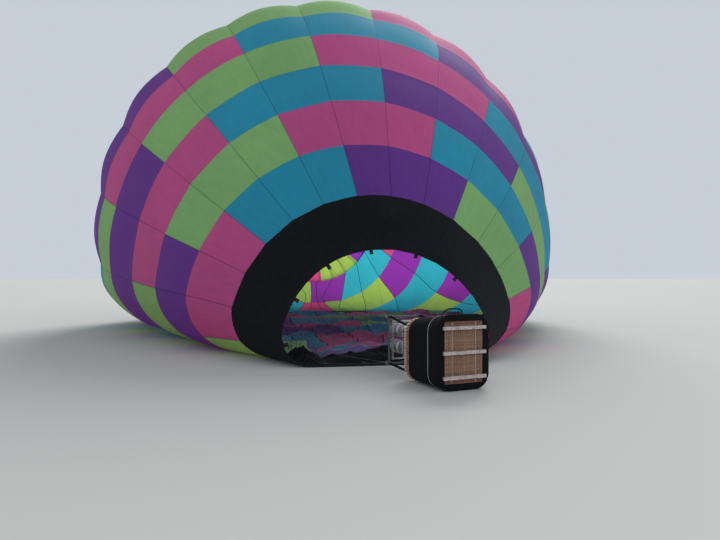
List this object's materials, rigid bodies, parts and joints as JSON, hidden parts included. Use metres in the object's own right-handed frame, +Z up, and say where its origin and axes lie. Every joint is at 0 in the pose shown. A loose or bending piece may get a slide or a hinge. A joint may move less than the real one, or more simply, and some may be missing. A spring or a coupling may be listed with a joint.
{
  "type": "hot air balloon lying on its side during cold inflation",
  "caption": "Hot air balloon on its side, partly filled: striped fabric envelope with parachute vent, wicker basket on its side, twin burner on a gimballed frame.",
  "frame": {"origin": "centre of the underside of the whole balloon's bounding box, at ground level", "axes": "+Z up, +Y along the balloon from the basket and mouth to the crown, +X to the right seen from the basket"},
  "size_m": [15.9482, 20.8202, 10.9361],
  "materials": {
    "black_fabric": "flame-resistant black cloth",
    "striped_fabric": "coated ripstop in violet, cyan, green and pink panels",
    "webbing": "black woven load tape",
    "leather": "black suede and leather",
    "wicker": "woven cane",
    "wood": "worn bare timber",
    "rope": "pale rope",
    "steel": "stainless steel",
    "frame_metal": "dark grey coating",
    "tank_metal": "satin",
    "lever": "red coating"
  },
  "bodies": {
    "balloon": {"mouth_band": "black_fabric", "envelope_lower": "striped_fabric", "envelope_upper": "striped_fabric", "slack_cloth": "striped_fabric", "crown_tapes": "webbing", "crown_ring": "steel", "flying_wires_top_left": "steel", "flying_wires_top_right": "steel", "flying_wires_low_right": "steel", "flying_wires_low_left": "steel", "link_top_left": "steel", "link_top_right": "steel", "link_low_right": "steel", "link_low_left": "steel", "burner_frame": "frame_metal", "upright_top_left": "leather", "upright_top_right": "leather", "upright_low_right": "leather", "upright_low_left": "leather", "basket_wall": "wicker", "basket_floor": "wicker", "basket_rim": "wicker", "cover_lower": "leather", "cover_upper": "leather", "lacing_rope": "rope", "bottom_border": "leather", "carry_handle": "leather", "skid_1": "wood", "skid_2": "wood", "skid_3": "wood", "floor_cable_left": "rope", "floor_cable_right": "rope", "fuel_tank_left": "tank_metal", "fuel_tank_right": "tank_metal"},
    "gimbal": {"gimbal_ring": "steel"},
    "burner": {"burner_block": "steel", "valve_lever_1": "lever", "valve_lever_2": "lever", "burner_can_1": "steel", "burner_can_2": "steel", "burner_coil_1": "steel", "burner_coil_2": "steel"},
    "vent": {"parachute_vent": "striped_fabric"}
  },
  "joints": [
    {"name": "gimbal_tilt", "type": "hinge", "parent": "balloon", "child": "gimbal", "pos_m": [0.11878, -8.47801, 0.569], "axis": [0.9681, 0.2504, 0], "range_deg": [-12, 12]},
    {"name": "burner_tilt", "type": "hinge", "parent": "gimbal", "child": "burner", "pos_m": [0.11878, -8.47801, 0.569], "axis": [0, 0, -1], "range_deg": [-12, 12]},
    {"name": "vent_slide", "type": "slide", "parent": "balloon", "child": "vent", "axis": [0, -0.8894, -0.4571], "range_m": [0, 0.9]}
  ]
}
